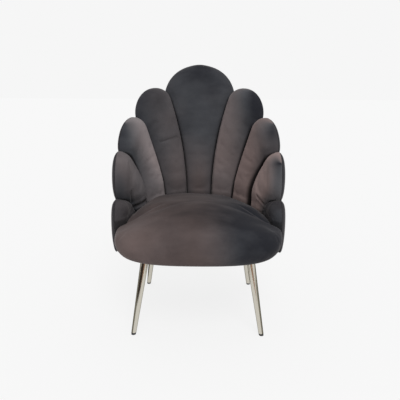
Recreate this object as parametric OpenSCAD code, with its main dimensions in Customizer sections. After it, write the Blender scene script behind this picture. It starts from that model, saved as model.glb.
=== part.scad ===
// Lounge chair with a petal-fan back: nine padded petals on one bent plywood shell,
// a domed seat cushion and four splayed tapered tube legs.
// The origin is on the floor under the middle of the chair. X is to the sitter's left, which is
// the right in a front view, Y to the rear and Z up. The front faces -Y.

/* [Shell] */
// Inner radius of the bent plywood shell
ply_r = 278; // [270:1:284]
// Thickness of the bent plywood
ply_t = 10; // [8:1:12]
// Backward lean of the shell's axis in degrees
lean = 12; // [9:0.5:14]
// Height of the point that the shell's axis leans about
axis_z = 405; // [395:1:415]
// Distance of that point behind the chair's middle, negative in front of it
axis_y = -90; // [-100:1:-80]
// How far the plywood's scalloped edge stays inside the padded outline
ply_inset = 11; // [10:1:14]

/* [Fan] */
// Radius of the round middle crest
crest_r = 146; // [136:1:150]
// Height of the crest circle's centre along the leaning axis
crest_h = 411; // [400:1:425]
// Half of the crest arc's sweep in degrees
crest_sweep = 78.5; // [74:0.5:84]
// Width of the open seam between two pads
seam_gap = 1.4; // [1.2:0.1:1.6]

/* [Petal pads] */
// Thickness of a pad at its sewn seams
seam_pad = 12; // [9:1:15]
// How far a petal swells beyond its seams above the seat
petal_puff = 29; // [20:1:34]
// How far a petal swells where the seat presses on it
pressed_puff = 19.5; // [14:0.5:22]
// Width of the round rim of the pads
rim_round = 42; // [34:1:48]
// Thickness of half the sewn rim edge
rim_edge = 2.5; // [2:0.5:4]

/* [Outer cover] */
// Thickness of the outer cover's padding at its seams
cover_pad = 6; // [5:0.5:9]
// How far each outer panel swells between its seams
cover_puff = 4; // [3:0.5:8]
// Width of the round rim of the outer cover
cover_round = 26; // [20:1:32]
// Clearance between the plywood and the outer cover's padding
cover_gap = 1.9; // [1.7:0.1:2.2]
// Height of the outer cover's lower edge above the floor
cover_z = 243; // [236:1:246]

/* [Seat] */
// Height of the seat's crown above the floor
seat_h = 430; // [420:1:440]
// Height of the seat's rear edge, where it meets the back
seat_edge_h = 396; // [390:1:404]
// Height of the seat's edge beside the arms, where it is lowest
side_edge_h = 355; // [350:1:362]
// Height of the seat's top edge at the front
front_edge_h = 376; // [368:1:384]
// Thickness of the cushion's cloth where it is folded under the board
cloth_t = 1.2; // [1:0.1:1.6]
// Width of that fold under the board's edge
cloth_fold = 20; // [14:1:26]
// How far the seat's widest sides, in front of the arms, stay inside the plywood's inner radius
ear_in = 3; // [0:0.5:10]
// How far in front of the shell's axis the seat starts to widen
ear_start = 14; // [12:1:20]
// Distance from there to where the seat is widest
ear_run = 32; // [26:1:40]
// Depth of the rounded front from the widest place to the front edge
front_depth = 147; // [135:1:155]
// Squareness of the rounded front, 2 is an ellipse
front_power = 2.5; // [2.2:0.1:3]
// Clearance between soft parts that press on each other
soft_gap = 0.5; // [0.4:0.1:1]
// Distance from the cushion's outside to the foam block in it
wall = 42; // [38:1:46]
// Thickness of the foam block
foam_t = 44; // [36:1:48]

/* [Seat board] */
// Height of the board's underside above the floor
board_z = 259; // [256:1:261]
// Thickness of the plywood seat board
board_t = 18; // [15:1:20]
// How far the board stays inside the cushion's front edge
board_inset = 53; // [50:1:56]
// How far the board stays inside the cushion's widest sides in front of the arms
board_side_inset = 60; // [54:1:64]
// Thickness of the black dust cover under the board
dust_t = 1; // [0.8:0.1:1.5]
// Clearance between hard parts
gap = 0.3; // [0.2:0.05:0.4]

/* [Legs] */
// How far the middles of the front leg plates stay inside the board's sides
plate_side_in = 42; // [40:1:48]
// How far the middles of the front leg plates stay behind the board's front edge
plate_front_in = 71; // [68:1:80]
// How far the middles of the rear leg plates stay inside the plywood shell
plate_shell_in = 31; // [29:1:36]
// Angle of the rear leg plates round the shell from the rear centre in degrees
plate_a = 43.5; // [40:0.5:46]
// How far the front legs lean forward, and all legs sideways, from plate to foot
splay = 40; // [36:1:44]
// How far the rear legs lean backward from plate to foot
rear_rake = 100; // [96:1:112]
// Outer diameter of a leg tube at its plate
leg_top_d = 27; // [24:0.5:30]
// Outer diameter of a leg tube at its foot
leg_foot_d = 16; // [14:0.5:19]
// Wall of the leg tubes
leg_wall = 1.2; // [1:0.1:1.5]
// Side of the square leg plate
plate_w = 56; // [52:1:58]
// Thickness of the leg plate
plate_t = 3; // [2.5:0.5:4]
// Corner radius of the leg plate
plate_corner = 8; // [5:1:12]
// Distance between two screws of a plate
screw_pitch = 39; // [36:1:41]
// Height of the plastic glide that shows under a tube
glide_h = 7; // [5:0.5:10]
// Length of the glide's plug in the tube
plug_l = 18; // [12:1:24]

/* [Fasteners] */
// Thread diameter of the leg screws
screw_d = 6; // [5:0.5:6]
// Length of the leg screws under the head
screw_l = 18; // [16:1:20]
// Head diameter of the leg screws
head_d = 12; // [11:0.5:13]
// Head height of the leg screws
head_h = 3.4; // [3:0.1:4]
// Outer diameter of the threaded nuts in the board
nut_d = 8; // [7.5:0.5:9]
// Flange diameter of the nuts
nut_flange_d = 18; // [16:1:20]
// Flange thickness of the nuts
nut_flange_t = 1.4; // [1.2:0.1:1.8]
// Length of the nuts
nut_l = 13; // [11:0.5:14]
// Shank diameter of the screws through the shell into the board's edge
edge_screw_d = 5; // [4:0.5:5.5]
// Length of those screws
edge_screw_l = 45; // [38:1:50]
// Angles of those screws round the shell, on each side
edge_angles = [0, 32, 64];

/* [Hidden] */
$fn = 48;
SIDES = ["left", "right"];

velvet = [0.2, 0.19, 0.2];
velvet_light = [0.27, 0.25, 0.26];
birch = [0.78, 0.65, 0.47];
steel = [0.78, 0.73, 0.68];
zinc = [0.7, 0.7, 0.68];
black = [0.06, 0.06, 0.07];
foam_yellow = [0.9, 0.84, 0.62];

mid_r = ply_r + ply_t / 2;
ply_out_r = ply_r + ply_t;
// A length past every edge of the chair, for cutting
far_out = 1.5 * ply_out_r;
pad_back_r = ply_r - gap;
crest_w = crest_h + crest_r * cos(crest_sweep);
crest_a = crest_r * sin(crest_sweep) / mid_r * 180 / PI;
board_top = board_z + board_t;
seat_low_h = board_z - gap - cloth_t;
pad_z = board_top + soft_gap;
// Room for the flat facets of two curved faces that lie on each other
facet_room = 1.5;
seat_r = ply_r - seam_pad - pressed_puff - soft_gap - facet_room;
ear_w = ply_r - ear_in;
ear_y = shell_y(board_z) - ear_start;
wide_y = ear_y - ear_run;

// A straight mix of two values, a smooth step, and a point on a cubic curve
function mix(a, b, t) = a + (b - a) * t;
function step(t) = let (c = min(1, max(0, t))) c * c * (3 - 2 * c);
function curve(p, t) = let (s = 1 - t)
    s * s * s * p[0] + 3 * s * s * t * p[1] + 3 * s * t * t * p[2] + t * t * t * p[3];

// The shell is a cylinder that leans back. A place on it has a radius, an angle from the rear
// centre in degrees and a height along the leaning axis.
function shell_point(r, a, w) = [r * sin(a),
    axis_y + w * sin(lean) + r * cos(a) * cos(lean),
    axis_z + w * cos(lean) - r * cos(a) * sin(lean)];
// Where the axis crosses a level, and the height along the axis of a level at a given angle
function shell_y(z) = axis_y + (z - axis_z) * tan(lean);
function level_w(z, r, a) = (z - axis_z + r * cos(a) * sin(lean)) / cos(lean);
function on_level(z, a) = [a, level_w(z, mid_r, a)];

// The four seams from the lower edge to the notches between the petals, as angle and height,
// and the free rounded ends of the petals from notch to notch
seams = [
    [on_level(cover_z, 10.3), [9.1, 185], [18.2, 321], [crest_a, crest_w]],
    [on_level(cover_z, 29.2), [25, 75], [45.5, 228], [57, 322]],
    [on_level(cover_z, 47.4), [50.5, 66], [57.5, 130], [80.5, 190]],
    [on_level(cover_z, 58.3), [58.5, -50], [66, 8], [87, 22]]];
arm_corner = on_level(cover_z + 2, 87);
ends = [
    [seams[0][3], [42, 483], [61.6, 394], seams[1][3]],
    [seams[1][3], [68, 341], [84.8, 237], seams[2][3]],
    [seams[2][3], [90.5, 194], [101, 80], seams[3][3]],
    [seams[3][3], [96, 22], [103, -75], arm_corner]];

function crest(u) = let (t = mix(-crest_sweep, crest_sweep, u))
    [crest_r * sin(t) / mid_r * 180 / PI, crest_h + crest_r * cos(t)];

// Seams that start on a given level: the place on the seam is found by halving
function seam_start(s, z, lo = 0, hi = 0.7, n = 18) = let (m = (lo + hi) / 2, p = curve(s, m))
    n == 0 ? m :
    p[1] < level_w(z, mid_r, p[0]) ? seam_start(s, z, m, hi, n - 1) : seam_start(s, z, lo, m, n - 1);
function seam(k, z, v) = let (s = seams[k], v0 = seam_start(s, z)) curve(s, mix(v0, 1, v));
function seam_length(k) = norm([(seams[k][3][0] - seams[k][0][0]) * mid_r * PI / 180,
    seams[k][3][1] - seams[k][0][1]]);
function mirrored(p) = [-p[0], p[1]];

// Where the arm's free end comes down to a level, found by halving, and the arm's lower edge,
// from a place in front of the last seam's foot to there
function arm_end(z, lo = 0.6, hi = 1, n = 12) = let (m = (lo + hi) / 2, p = curve(ends[3], m))
    n == 0 ? hi : p[1] > level_w(z + 2, mid_r, p[0]) ? arm_end(z, m, hi, n - 1) : arm_end(z, lo, m, n - 1);
arm_foot_a = 68;
function arm_foot(z, v) = let (p = curve(ends[3], arm_end(z)))
    [mix(arm_foot_a, p[0], v), mix(level_w(z, mid_r, arm_foot_a), p[1], v)];

// The four sides of petal k: k = 0 is the middle one, 4 is the arm
function side_in(k, z, v) = k == 0 ? mirrored(seam(0, z, v)) : seam(k - 1, z, v);
function side_out(k, z, v) = k == 4 ? arm_foot(z, v) : seam(k, z, v);
function free_end(k, z, u) = k == 0 ? crest(u) :
    curve(ends[k - 1], k < 4 ? u : u * arm_end(z));
function foot(k, z, u) = on_level(z, mix(side_in(k, z, 0)[0], side_out(k, z, 0)[0], u));
function length_in(k) = seam_length(max(k - 1, 0));
function length_out(k) = k == 4 ? 120 : seam_length(k);

// A place inside petal k by four-sided blending. u runs across, v from the foot to the free end.
function petal_place(k, z, u, v) =
    mix(side_in(k, z, v), side_out(k, z, v), u)
    + mix(foot(k, z, u), free_end(k, z, u), v)
    - mix(mix(side_in(k, z, 0), side_out(k, z, 0), u), mix(side_in(k, z, 1), side_out(k, z, 1), u), v)
    + [seam_gap / 2 / mm_a * (1 - 2 * u), 0];
// The v that lies a distance d short of the free end
function short_of_end(k, d, u) = 1 - d / mix(length_in(k), length_out(k), u);

// The flat place of a point on the shell in millimetres, and the place a distance d inside the
// free end, square to it
mm_a = mid_r * PI / 180;
function flat(p) = [p[0] * mm_a, p[1]];
function inside_end(k, z, u, d) = let (
        run = flat(petal_place(k, z, min(1, u + 0.02), 1)) - flat(petal_place(k, z, max(0, u - 0.02), 1)),
        p = petal_place(k, z, u, 1))
    p + [run[1] / mm_a, -run[0]] * d / norm(run);

// Closed solid between two grids of points with equal rows and columns; the near grid faces the sitter
module quilted(near, far) {
    rows = len(near);
    cols = len(near[0]);
    count = rows * cols;
    function n(j, i) = j * cols + i;
    function f(j, i) = count + j * cols + i;
    skins = [for (j = [0 : rows - 2], i = [0 : cols - 2]) each [
        [n(j, i), n(j + 1, i), n(j, i + 1)], [n(j + 1, i), n(j + 1, i + 1), n(j, i + 1)],
        [f(j, i), f(j, i + 1), f(j + 1, i)], [f(j + 1, i), f(j, i + 1), f(j + 1, i + 1)]]];
    top = rows - 1;
    last = cols - 1;
    ends_low_high = [for (i = [0 : cols - 2]) each [
        [n(0, i), n(0, i + 1), f(0, i + 1)], [n(0, i), f(0, i + 1), f(0, i)],
        [n(top, i + 1), n(top, i), f(top, i)], [n(top, i + 1), f(top, i), f(top, i + 1)]]];
    flanks = [for (j = [0 : rows - 2]) each [
        [n(j + 1, 0), n(j, 0), f(j + 1, 0)], [n(j, 0), f(j, 0), f(j + 1, 0)],
        [n(j, last), n(j + 1, last), f(j + 1, last)], [n(j, last), f(j + 1, last), f(j, last)]]];
    polyhedron(points = concat([for (r = near) each r], [for (r = far) each r]),
        faces = concat(skins, ends_low_high, flanks), convexity = 6);
}

// How a pad rises: steep on the inner side that overlaps its neighbour, easy on the outer side
crown_at = 0.38;
tuck = 0.22;
function swell(k, u) = k == 0 ? pow(max(0, 1 - pow(abs(2 * u - 1), 2.6)), 0.55) :
    u < crown_at ? pow(max(0, 1 - pow(1 - u / crown_at, 2.4)), 0.6) :
    mix(1, tuck, pow((u - crown_at) / (1 - crown_at), 2.2));
function petal_swell(k, u) = u >= 1 ? 0 : swell(k, u);
function quarter_round(d, width) = d >= width ? 1 : sqrt(max(0, 1 - pow(1 - d / width, 2)));

// Height of the seat's edge at a place, used by the cushion and by the petals that it presses on.
// Seen from the crown, the edge is lowest beside the arms and rises to the rear and to the front.
crown_y = -105;
rear_rise_a = [15, 75];
front_rise_a = [-25, -80];
function edge_height(x, y) = let (a = atan2(y - crown_y, abs(x)))
    side_edge_h
    + (seat_edge_h - side_edge_h) * step((a - rear_rise_a[0]) / (rear_rise_a[1] - rear_rise_a[0]))
    + (front_edge_h - side_edge_h) * step((a - front_rise_a[0]) / (front_rise_a[1] - front_rise_a[0]));
function above_edge(p) = let (q = shell_point(seat_r, p[0], p[1])) q[2] - edge_height(q[0], q[1]);
free_above = 10;
function puff_at(p) = mix(pressed_puff, petal_puff, step((above_edge(p) - free_above) / 55));
// The v in a column at which a petal comes out above the seat, again found by halving
function edge_v(k, u, lo = 0, hi = 0.6, n = 9) = let (m = (lo + hi) / 2)
    n == 0 ? m : above_edge(petal_place(k, pad_z, u, m)) < free_above ?
    edge_v(k, u, m, hi, n - 1) : edge_v(k, u, lo, m, n - 1);

pad_rows = [0.3, 0.55, 0.8];
lip_in = ply_inset * 0.44;
lip_out = ply_inset * 0.38;
pad_rim = [rim_round, rim_round * 0.52, rim_round * 0.26, lip_in, lip_out, 0];
pad_cols = [0, 0.04, 0.13, 0.26, 0.41, 0.56, 0.71, 0.85, 0.95, 1];

module petal(k) {
    below_rim = len(pad_rows) + 2;
    rows = below_rim + len(pad_rim) - 1;
    edges = [for (u = pad_cols) edge_v(k, u)];
    function v_at(j, i) = let (u = pad_cols[i], low = short_of_end(k, rim_round, u))
        j == 0 ? 0 : j == 1 ? edges[i] : j < below_rim ? mix(edges[i], low, pad_rows[j - 2]) :
        short_of_end(k, pad_rim[j - below_rim], u);
    spots = [for (j = [0 : rows]) [for (i = [0 : len(pad_cols) - 1])
        petal_place(k, pad_z, pad_cols[i], v_at(j, i))]];
    function d_at(j) = j < below_rim ? rim_round : pad_rim[j - below_rim];
    function near_r(j, u, p) = mid_r - max(rim_edge,
        quarter_round(d_at(j), rim_round) * (ply_t / 2 + seam_pad + puff_at(p) * petal_swell(k, u)));
    function far_r(j) = d_at(j) <= lip_out ? mid_r - gap : pad_back_r;
    near = [for (j = [0 : rows]) [for (i = [0 : len(pad_cols) - 1])
        let (p = spots[j][i]) shell_point(near_r(j, pad_cols[i], p), p[0], p[1])]];
    far = [for (j = [0 : rows]) [for (p = spots[j]) shell_point(far_r(j), p[0], p[1])]];
    color(k % 2 == 0 ? velvet : velvet_light) quilted(near, far);
}

cover_rows = [0, 0.012, 0.016, 0.27, 0.52, 0.77];
cover_rim = [cover_round, cover_round * 0.48, lip_in, lip_out, 0];

module outer_panel(k) {
    rows = len(cover_rows) + len(cover_rim) - 1;
    function v_at(j, u) = let (low = short_of_end(k, cover_round, u))
        j < len(cover_rows) ? low * cover_rows[j] : short_of_end(k, cover_rim[j - len(cover_rows)], u);
    function d_at(j) = j < len(cover_rows) ? cover_round : cover_rim[j - len(cover_rows)];
    function near_r(j) = d_at(j) <= lip_out ? mid_r + gap : ply_out_r + cover_gap;
    function far_r(j, u) = mid_r + max(rim_edge, quarter_round(d_at(j), cover_round)
        * (ply_t / 2 + cover_pad + cover_puff * pow(max(0, 1 - pow(abs(2 * u - 1), 2.6)), 0.6)));
    near = [for (j = [0 : rows]) [for (u = pad_cols)
        let (p = petal_place(k, cover_z, u, v_at(j, u))) shell_point(near_r(j), p[0], p[1])]];
    far = [for (j = [0 : rows]) [for (u = pad_cols)
        let (p = petal_place(k, cover_z, u, v_at(j, u))) shell_point(far_r(j, u), p[0], p[1])]];
    color(k % 2 == 0 ? velvet : velvet_light) quilted(near, far);
}

// Everything that leans with the shell is drawn upright and turned here
module on_axis() {
    translate([0, axis_y, axis_z]) rotate([-lean, 0, 0]) children();
}

// One scallop of the plywood: a flat outline in the plane that touches the shell at the petal's
// middle, pushed out through the shell. Its lower sides run wide under the neighbours, so that only a
// short notch stays open between two scallops.
overlap_a = 4;
notch_deep = 15;
module scallop(k) {
    edge = [for (u = pad_cols) inside_end(k, cover_z, u, ply_inset)];
    n = len(edge) - 1;
    first = edge[0];
    last = edge[n];
    a_mid = k == 0 ? 0 : (first[0] + last[0]) / 2;
    low_in = side_in(k, cover_z, 0)[0];
    low_out = k == 4 ? arm_foot_a : side_out(k, cover_z, 0)[0];
    low_w = level_w(cover_z, mid_r, 0) - 60;
    around = concat([[low_in - overlap_a, low_w], [first[0] - overlap_a, first[1] - notch_deep], first],
        [for (i = [1 : n - 1]) edge[i]],
        k == 4 ? [last, [last[0], low_w]] : [last, [last[0], last[1] - notch_deep],
        [low_out + overlap_a, low_w]]);
    outline = [for (p = around) [mid_r * sin(p[0] - a_mid), p[1]]];
    rotate([0, 0, -a_mid]) translate([0, ply_out_r + 30, 0]) rotate([90, 0, 0])
        linear_extrude(height = 90) polygon(outline);
}

edge_screw_z = board_z + board_t / 2;
head_room = 4.5;
// Horizontal distance from the axis to a leaning cylinder of radius r, towards the shell's angle a
function level_reach(r, a) = norm([r * sin(a), r * cos(a) / cos(lean)]);
function level_turn(a) = atan2(sin(a), cos(a) / cos(lean));
all_edge_angles = [for (a = edge_angles) each a == 0 ? [0] : [-a, a]];
module at_edge_screws() {
    for (a = all_edge_angles)
        translate([0, shell_y(edge_screw_z), edge_screw_z]) rotate([0, 0, -level_turn(a)])
            translate([0, level_reach(ply_out_r, a) - 2.5, 0]) rotate([90, 0, 0]) children();
}

module back_shell() {
    color(birch) difference() {
        intersection() {
            on_axis() difference() {
                translate([0, 0, -far_out]) cylinder(r = ply_out_r, h = 3 * far_out, $fn = 96);
                translate([0, 0, -far_out - 1]) cylinder(r = ply_r, h = 3 * far_out + 2, $fn = 96);
            }
            on_axis() union() {
                scallop(0);
                for (k = [1 : 4]) {
                    scallop(k);
                    mirror([1, 0, 0]) scallop(k);
                }
            }
            translate([-far_out, -far_out, cover_z + 5]) cube([2 * far_out, 2 * far_out, 3 * far_out]);
        }
        at_edge_screws() {
            translate([0, 0, -10]) cylinder(d = 10, h = 10 + head_room - gap);
            cylinder(d = edge_screw_d + 1, h = 40);
        }
    }
}

// Plan of the seat's right half from the rear centre to the front centre. The inset is measured
// from the outside, and the rear part follows the leaning shell at height z.
arc_a = 83;
function seat_half(z, inset) = let (
        r = seat_r - inset,
        rear = [for (i = [0 : 10]) let (a = arc_a * i / 10) [r * sin(a), shell_y(z) + r * cos(a) / cos(lean)]],
        w = ear_w - inset,
        ear = [[r, ear_y + 16], [r + 2, ear_y], [mix(r, w, 0.62), ear_y - 6],
            [mix(r, w, 0.93), mix(ear_y, wide_y, 0.55)]],
        front = [for (i = [0 : 10]) let (a = 90 * i / 10)
            [w * pow(max(0, cos(a)), 2 / front_power),
            wide_y - (front_depth - inset) * pow(sin(a), 2 / front_power)]])
    concat(rear, ear, front);
function whole(half) = concat(half, [for (i = [len(half) - 2 : -1 : 1]) [-half[i][0], half[i][1]]]);

// The cushion's skin in rings from its lower cloth edge over the side and the top edge to the crown
rear_rise = [0, 0.1, 0.34, 0.62, 0.87, 0.96, 1];
rear_in = [0, 0, 0, 0, 1, 7, 20];
front_rise = [0, 0.004, 0.13, 0.36, 0.62, 0.84, 1];
under_in = board_inset + cloth_fold;
front_in = [under_in, board_inset - 7, 12, 2, 1, 13, 32];
// Extra drawing in of the corners beside the arms
corner_in = [board_side_inset - board_inset, 2, 8, 2, 0, 0, 0];
// The crown's rings lie on ovals: half width, reach to the rear and reach to the front
dome = [[208, 218, 152, 0.3], [150, 156, 108, 0.62], [84, 86, 60, 0.87]];
function frontness(y) = step((ear_y + 50 - y) / 110);
module seat_skin() {
    reference = whole(seat_half(seat_edge_h, 0));
    n = len(reference);
    rings = len(rear_rise);
    function ring_point(j, i) = let (f = frontness(reference[i][1]),
            e = edge_height(reference[i][0], reference[i][1]),
            z = mix(seat_low_h, e, mix(rear_rise[j], front_rise[j], f)),
            side = pow(min(1, abs(reference[i][0]) / ear_w), 4),
            p = whole(seat_half(z, mix(rear_in[j], front_in[j] + corner_in[j] * side, f)))[i])
        [p[0], p[1], z];
    function dome_point(d, i) = let (p = ring_point(rings - 1, i),
            y = p[1] - crown_y,
            long = y > 0 ? d[1] : d[2],
            k = 1 / norm([p[0] / d[0], y / long]))
        [p[0] * k, crown_y + y * k, mix(p[2], seat_h, d[3])];
    points = concat([for (j = [0 : rings - 1], i = [0 : n - 1]) ring_point(j, i)],
        [for (d = dome, i = [0 : n - 1]) dome_point(d, i)],
        [[0, crown_y, seat_low_h], [0, crown_y, seat_h]]);
    levels = rings + len(dome);
    low = levels * n;
    high = low + 1;
    faces = concat(
        [for (j = [0 : levels - 2], i = [0 : n - 1]) let (a = j * n + i, b = j * n + (i + 1) % n)
            each [[a, b, b + n], [a, b + n, a + n]]],
        [for (i = [0 : n - 1]) [low, (i + 1) % n, i]],
        [for (i = [0 : n - 1]) [high, (levels - 1) * n + i, (levels - 1) * n + (i + 1) % n]]);
    polyhedron(points = points, faces = faces, convexity = 6);
}

module foam_block(extra) {
    translate([0, 0, board_top + gap]) linear_extrude(height = foam_t + extra)
        offset_outline(wall - extra);
}
module offset_outline(inset) {
    polygon(whole(seat_half(board_top + foam_t / 2, inset)));
}

// The board's outline: wide behind, where the leaning shell cuts it, inside the cushion's sides in
// front of the arms' lower corners, and round in front
arm_front_y = shell_y(board_z) + mid_r * cos(arm_corner[0]) / cos(lean);
function board_half(inset) = let (w = ear_w - inset - board_side_inset + board_inset)
    concat([[0, far_out], [far_out, far_out], [far_out, arm_front_y + 6],
        [seat_r - 8, arm_front_y - 8], [w, wide_y + 12]],
    [for (i = [0 : 14]) let (a = 90 * i / 14)
        [w * pow(max(0, cos(a)), 2 / front_power),
        wide_y - (front_depth - inset) * pow(sin(a), 2 / front_power)]]);
module board_blank(inset, z, t, r) {
    intersection() {
        translate([0, 0, z]) linear_extrude(height = t) polygon(whole(board_half(inset)));
        on_axis() translate([0, 0, -far_out]) cylinder(r = r, h = 2 * far_out, $fn = 96);
    }
}

module seat_cushion() {
    color(velvet) difference() {
        seat_skin();
        board_blank(board_inset - soft_gap, board_z - gap, board_t + 2 * gap, ply_r + 1);
        board_blank(under_in, seat_low_h - 5, 8, ply_r + 1);
        for (leg = LEGS) at_plate_screws(leg)
            translate([0, 0, seat_low_h - 5]) cylinder(d = screw_d + 2, h = 8);
        foam_block(gap);
    }
}

module seat_foam() {
    color(foam_yellow) foam_block(0);
}

// Where each leg is fixed and where it stands: the front plates follow the board's edges, the rear
// plates the shell, and the feet lie outside them by the splay and the rake
plate_top = board_z - max(dust_t, cloth_t) - 2 * gap;
plate_low = plate_top - plate_t;
function plate_place(end, side) = end == "front" ?
    [side * (ear_w - board_side_inset - plate_side_in), wide_y - front_depth + board_inset + plate_front_in] :
    [side * (ply_r - plate_shell_in) * sin(plate_a),
        shell_y(board_z) + (ply_r - plate_shell_in) * cos(plate_a) / cos(lean)];
function foot_place(end, side) = plate_place(end, side)
    + [side * splay, end == "front" ? -splay : rear_rake];
LEGS = [["front", -1], ["front", 1], ["rear", -1], ["rear", 1]];
module at_plate_screws(leg) {
    p = plate_place(leg[0], leg[1]);
    for (a = [0 : 90 : 270])
        translate([p[0], p[1], 0]) rotate([0, 0, a]) translate([screw_pitch * sqrt(0.5), 0, 0]) children();
}

module seat_board() {
    color(birch) difference() {
        board_blank(board_inset, board_z, board_t, ply_r - gap);
        for (leg = LEGS) at_plate_screws(leg) {
            translate([0, 0, board_z - 1]) cylinder(d = nut_d + 2 * gap, h = board_t + 2);
            translate([0, 0, board_top - nut_flange_t - gap]) cylinder(d = nut_flange_d + 1, h = 5);
        }
        at_edge_screws() cylinder(d = edge_screw_d + gap, h = edge_screw_l + 1);
    }
}

module dust_cover() {
    color(black) difference() {
        board_blank(under_in + 1, board_z - dust_t - gap, dust_t, ply_r - 3);
        for (leg = LEGS) at_plate_screws(leg)
            translate([0, 0, board_z - 5]) cylinder(d = screw_d + 2, h = 6);
    }
}

// A tapered tube round the line from the foot to the plate, cut level at both ends
function leg_tilt(leg) = let (a = foot_place(leg[0], leg[1]), b = plate_place(leg[0], leg[1]))
    [b[0] - a[0], b[1] - a[1], plate_low];
module along_leg(leg) {
    v = leg_tilt(leg);
    a = foot_place(leg[0], leg[1]);
    translate([a[0], a[1], 0]) rotate([0, 0, atan2(v[1], v[0])])
        rotate([0, atan2(norm([v[0], v[1]]), v[2]), 0]) children();
}
module cut_level(low, high) {
    intersection() {
        children();
        translate([-far_out, -far_out, low]) cube([2 * far_out, 2 * far_out, high - low]);
    }
}
module leg(leg) {
    p = plate_place(leg[0], leg[1]);
    run = norm(leg_tilt(leg)) + 20;
    grow = (leg_top_d - leg_foot_d) / 2 / (run - 20) * 20;
    color(steel) union() {
        cut_level(glide_h, plate_low) along_leg(leg) difference() {
            cylinder(d1 = leg_foot_d, d2 = leg_top_d + 2 * grow, h = run);
            translate([0, 0, -1]) cylinder(d1 = leg_foot_d - 2 * leg_wall,
                d2 = leg_top_d + 2 * grow - 2 * leg_wall, h = run + 2);
        }
        difference() {
            translate([p[0], p[1], plate_low]) rotate([0, 0, 45]) rounded_plate();
            at_plate_screws(leg) translate([0, 0, plate_low - 1]) cylinder(d = screw_d + 0.6, h = plate_t + 2);
        }
    }
}
module rounded_plate() {
    c = plate_w / 2 - plate_corner;
    linear_extrude(height = plate_t) union() {
        square([plate_w, 2 * c], center = true);
        square([2 * c, plate_w], center = true);
        for (x = [-c, c], y = [-c, c]) translate([x, y]) circle(r = plate_corner);
    }
}

// Black plastic glide: a flat foot as wide as the tube, and a plug that sits in it
module glide(leg) {
    color(black) union() {
        cut_level(0, glide_h) along_leg(leg) translate([0, 0, -10])
            cylinder(d1 = leg_foot_d - 2, d2 = leg_foot_d + 0.6, h = 20);
        cut_level(glide_h - 1, glide_h + plug_l) along_leg(leg) translate([0, 0, -1])
            cylinder(d = leg_foot_d - 2 * leg_wall - 2 * gap, h = plug_l + 30);
    }
}

module leg_screws() {
    color(zinc) for (leg = LEGS) at_plate_screws(leg) translate([0, 0, plate_low]) {
        translate([0, 0, -head_h]) cylinder(d1 = head_d - 2, d2 = head_d, h = head_h);
        cylinder(d = screw_d, h = screw_l);
    }
}

module leg_nuts() {
    top = board_top - gap;
    color(zinc) for (leg = LEGS) at_plate_screws(leg) difference() {
        union() {
            translate([0, 0, top - nut_flange_t]) cylinder(d = nut_flange_d, h = nut_flange_t);
            translate([0, 0, top - nut_l]) cylinder(d = nut_d, h = nut_l);
        }
        translate([0, 0, top - nut_l - 1]) cylinder(d = screw_d + 2 * 0.1, h = nut_l + 2);
    }
}

module shell_screws() {
    color(zinc) at_edge_screws() union() {
        cylinder(d1 = 9, d2 = edge_screw_d, h = 4);
        cylinder(d = edge_screw_d, h = edge_screw_l - 6);
        translate([0, 0, edge_screw_l - 6]) cylinder(d1 = edge_screw_d, d2 = 1, h = 6);
    }
}

module mirrored_for(side) {
    mirror([side == "left" ? 1 : 0, 0, 0]) children();
}

petal(0);  // petal_center
mirrored_for("left") petal(1);  // petal_left_1
mirrored_for("left") petal(2);  // petal_left_2
mirrored_for("left") petal(3);  // petal_left_3
mirrored_for("left") petal(4);  // petal_left_4
petal(1);  // petal_right_1
petal(2);  // petal_right_2
petal(3);  // petal_right_3
petal(4);  // petal_right_4
outer_panel(0);  // outer_panel_center
mirrored_for("left") outer_panel(1);  // outer_panel_left_1
mirrored_for("left") outer_panel(2);  // outer_panel_left_2
mirrored_for("left") outer_panel(3);  // outer_panel_left_3
mirrored_for("left") outer_panel(4);  // outer_panel_left_4
outer_panel(1);  // outer_panel_right_1
outer_panel(2);  // outer_panel_right_2
outer_panel(3);  // outer_panel_right_3
outer_panel(4);  // outer_panel_right_4
back_shell();
seat_cushion();
seat_foam();
seat_board();
dust_cover();
leg(LEGS[0]);  // leg_front_left
leg(LEGS[1]);  // leg_front_right
leg(LEGS[2]);  // leg_rear_left
leg(LEGS[3]);  // leg_rear_right
glide(LEGS[0]);  // glide_front_left
glide(LEGS[1]);  // glide_front_right
glide(LEGS[2]);  // glide_rear_left
glide(LEGS[3]);  // glide_rear_right
leg_screws();
leg_nuts();
shell_screws();
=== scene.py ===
from math import atan2, cos, pi, radians, sin, tan

import bmesh
import bpy
import numpy as np
from mathutils import Matrix, Vector
from mathutils.kdtree import KDTree


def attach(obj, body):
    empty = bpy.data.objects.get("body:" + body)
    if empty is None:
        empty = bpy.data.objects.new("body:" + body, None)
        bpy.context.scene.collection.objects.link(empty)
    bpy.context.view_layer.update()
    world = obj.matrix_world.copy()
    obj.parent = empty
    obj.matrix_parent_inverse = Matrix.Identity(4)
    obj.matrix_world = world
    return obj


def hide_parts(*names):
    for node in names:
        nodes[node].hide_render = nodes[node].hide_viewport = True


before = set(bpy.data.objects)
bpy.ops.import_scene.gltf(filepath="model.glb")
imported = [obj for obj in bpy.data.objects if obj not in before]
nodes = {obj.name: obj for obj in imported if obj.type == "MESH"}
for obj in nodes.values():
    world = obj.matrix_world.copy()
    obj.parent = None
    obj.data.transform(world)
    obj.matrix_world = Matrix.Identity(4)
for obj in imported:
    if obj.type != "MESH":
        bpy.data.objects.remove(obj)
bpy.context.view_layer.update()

scene = bpy.context.scene


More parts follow.
